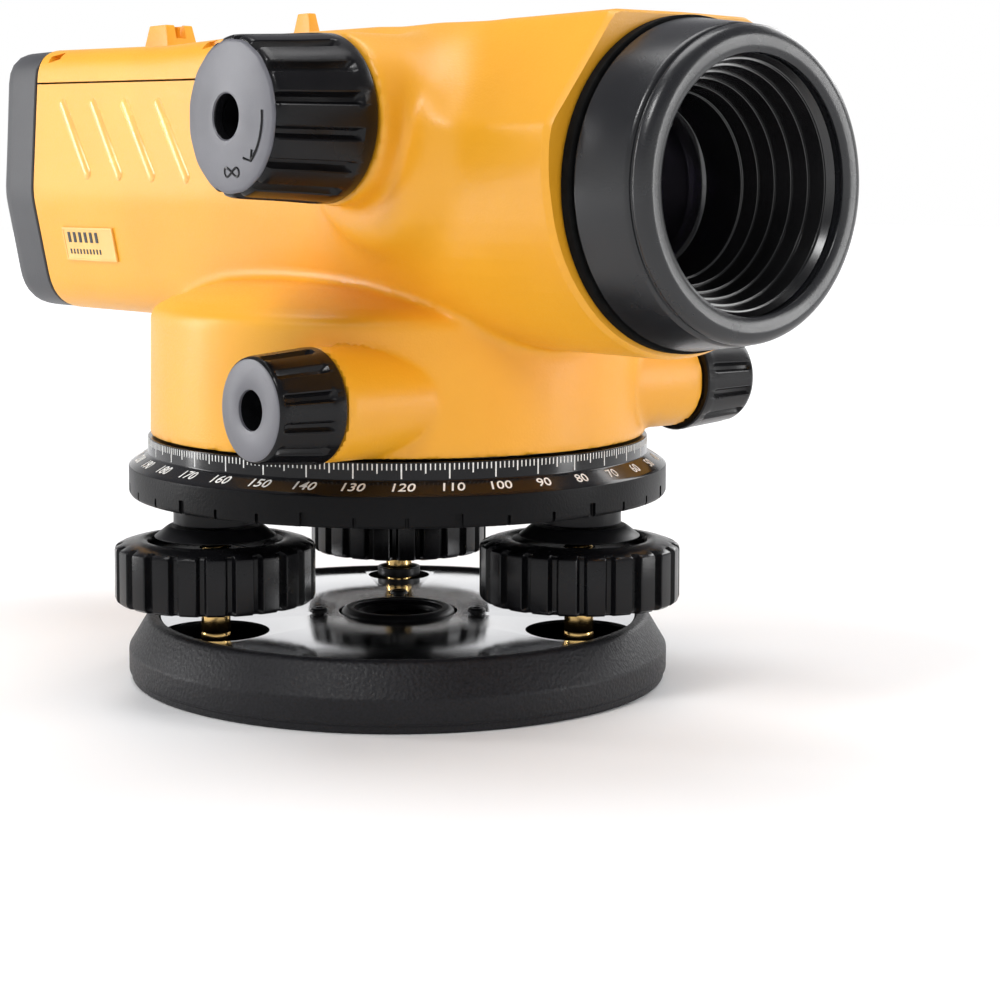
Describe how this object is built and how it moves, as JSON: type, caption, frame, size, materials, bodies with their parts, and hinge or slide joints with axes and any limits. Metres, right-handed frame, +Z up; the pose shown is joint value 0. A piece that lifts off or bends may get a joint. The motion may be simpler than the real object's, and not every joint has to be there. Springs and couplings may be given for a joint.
{
  "type": "automatic level",
  "caption": "Optical automatic level: telescope with compensator, tangent drive and focusing knob on a levelling head with foot screws, horizontal circle and round base.",
  "frame": {"origin": "centre of the overall box, on the plane of the tripod face under the base", "axes": "+X is the way the telescope looks, +Z is up along the standing axis, and the focusing knob is on the -Y side"},
  "size_m": [0.213, 0.1196, 0.1326],
  "materials": {
    "yellow_paint": "fine textured powder coat",
    "grey_trim": "satin moulded",
    "black_grip": "satin moulded, fluted",
    "black_casting": "crackle paint over a light alloy casting",
    "black_anodised": "black anodised, fine texture",
    "rubber_seal": "matt",
    "brass_turned": "turned, bright",
    "steel_turned": "turned, satin",
    "spring_steel": "polished flat spring plate",
    "optical_glass": "coated optical glass",
    "silver_label": "blank anodised label plate"
  },
  "bodies": {
    "base": {"base_plate": "black_casting", "spring_plate": "spring_steel", "tripod_hub": "black_anodised", "plate_screw_1": "steel_turned", "plate_screw_2": "steel_turned", "plate_screw_3": "steel_turned", "foot_keeper_1": "black_anodised", "foot_keeper_2": "black_anodised", "foot_keeper_3": "black_anodised"},
    "head": {"levelling_head": "black_anodised", "centre_spindle": "steel_turned", "screw_collar_1": "black_anodised", "screw_collar_2": "black_anodised", "screw_collar_3": "black_anodised"},
    "screw_1": {"foot_screw_1": "brass_turned"},
    "screw_2": {"foot_screw_2": "brass_turned"},
    "screw_3": {"foot_screw_3": "brass_turned"},
    "knob_1": {"levelling_knob_1": "black_grip"},
    "knob_2": {"levelling_knob_2": "black_grip"},
    "knob_3": {"levelling_knob_3": "black_grip"},
    "circle": {"horizontal_circle": "black_anodised"},
    "wheel": {"worm_wheel": "brass_turned"},
    "telescope": {"main_housing": "yellow_paint", "rear_lid": "yellow_paint", "rear_bezel": "grey_trim", "bezel_gasket": "rubber_seal", "hood_gasket": "rubber_seal", "objective_hood": "grey_trim", "objective_lens": "optical_glass", "objective_cell": "black_anodised", "hood_baffle": "black_anodised", "neck_floor": "black_anodised", "pivot_bush": "brass_turned", "rear_sight": "yellow_paint", "front_sight": "yellow_paint", "label_plate": "silver_label", "vial_holder": "black_grip", "circular_vial": "optical_glass", "vial_screw_1": "brass_turned", "vial_screw_2": "brass_turned", "vial_screw_3": "brass_turned", "compensator_frame": "steel_turned", "damping_magnet": "steel_turned", "reticle_cell": "black_anodised"},
    "pendulum": {"pendulum_arm": "brass_turned", "pendulum_prism": "optical_glass"},
    "tangent_drive": {"tangent_shaft": "steel_turned", "tangent_knob_near": "black_grip", "tangent_knob_far": "black_grip"},
    "focus_drive": {"focus_knob": "black_grip", "focus_knob_cap": "grey_trim", "focus_shaft": "steel_turned"},
    "focus_carriage": {"focus_cell": "black_anodised", "focus_lens": "optical_glass"},
    "eyepiece_grip": {"eyepiece_ring": "black_grip"},
    "eyepiece": {"eyepiece_barrel": "black_anodised", "eyepiece_lens": "optical_glass"}
  },
  "joints": [
    {"name": "head_tilt", "type": "hinge", "parent": "base", "child": "head", "pos_m": [0.02626, -0.01051, 0.0105], "axis": [0.6157, 0.788, 0], "range_deg": [-1.44, 1.44]},
    {"name": "screw_1_travel", "type": "slide", "parent": "head", "child": "screw_1", "axis": [0, 0, 1], "range_m": [-0.0015, 0.0015]},
    {"name": "knob_1_turn", "type": "hinge", "parent": "screw_1", "child": "knob_1", "pos_m": [0.00493, -0.03781, 0.024], "axis": [0, 0, 1], "range_deg": [-541, 541]},
    {"name": "screw_2_travel", "type": "slide", "parent": "head", "child": "screw_2", "axis": [0, 0, 1], "range_m": [-0.0015, 0.0015]},
    {"name": "knob_2_turn", "type": "hinge", "parent": "screw_2", "child": "knob_2", "pos_m": [0.04759, 0.01678, 0.024], "axis": [0, 0, 1], "range_deg": [-541, 541]},
    {"name": "screw_3_travel", "type": "slide", "parent": "head", "child": "screw_3", "axis": [0, 0, 1], "range_m": [-0.0015, 0.0015]},
    {"name": "knob_3_turn", "type": "hinge", "parent": "screw_3", "child": "knob_3", "pos_m": [-0.02102, 0.02643, 0.024], "axis": [0, 0, 1], "range_deg": [-541, 541]},
    {"name": "circle_turn", "type": "hinge", "parent": "head", "child": "circle", "pos_m": [0.0105, 0.0018, 0.042], "axis": [0, 0, 1], "continuous": true},
    {"name": "coarse_turn", "type": "hinge", "parent": "head", "child": "wheel", "pos_m": [0.0105, 0.0018, 0.0584], "axis": [0, 0, 1], "continuous": true},
    {"name": "fine_turn", "type": "hinge", "parent": "wheel", "child": "telescope", "pos_m": [0.0105, 0.0018, 0.0584], "axis": [0, 0, 1], "continuous": true},
    {"name": "tangent_turn", "type": "hinge", "parent": "telescope", "child": "tangent_drive", "pos_m": [0.043, 0.0018, 0.0584], "axis": [0, 1, 0], "continuous": true},
    {"name": "focus_turn", "type": "hinge", "parent": "telescope", "child": "focus_drive", "pos_m": [0.0431, -0.0482, 0.10815], "axis": [0, 1, 0], "range_deg": [-180, 180]},
    {"name": "focus_travel", "type": "slide", "parent": "telescope", "child": "focus_carriage", "axis": [1, 0, 0], "range_m": [-0.0069, 0.0069]},
    {"name": "eyepiece_turn", "type": "hinge", "parent": "telescope", "child": "eyepiece_grip", "pos_m": [-0.1015, 0.0018, 0.09665], "axis": [1, 0, 0], "range_deg": [-150, 150]},
    {"name": "eyepiece_travel", "type": "slide", "parent": "telescope", "child": "eyepiece", "axis": [1, 0, 0], "range_m": [-0.00285, 0.00285]},
    {"name": "pendulum_swing", "type": "hinge", "parent": "telescope", "child": "pendulum", "pos_m": [-0.0295, 0.0018, 0.11], "axis": [0, 1, 0], "range_deg": [-1.2, 1.2]}
  ],
  "couplings": [
    {"joint": "knob_1_turn", "follows": "screw_1_travel", "rad_per_m": 6283.2},
    {"joint": "knob_2_turn", "follows": "screw_2_travel", "rad_per_m": 6283.2},
    {"joint": "knob_3_turn", "follows": "screw_3_travel", "rad_per_m": 6283.2},
    {"joint": "head_tilt", "follows": "screw_3_travel", "rad_per_m": -16.667},
    {"joint": "tangent_turn", "follows": "fine_turn", "ratio": 60},
    {"joint": "focus_turn", "follows": "focus_travel", "rad_per_m": -454.55},
    {"joint": "eyepiece_turn", "follows": "eyepiece_travel", "rad_per_m": 909.09}
  ]
}
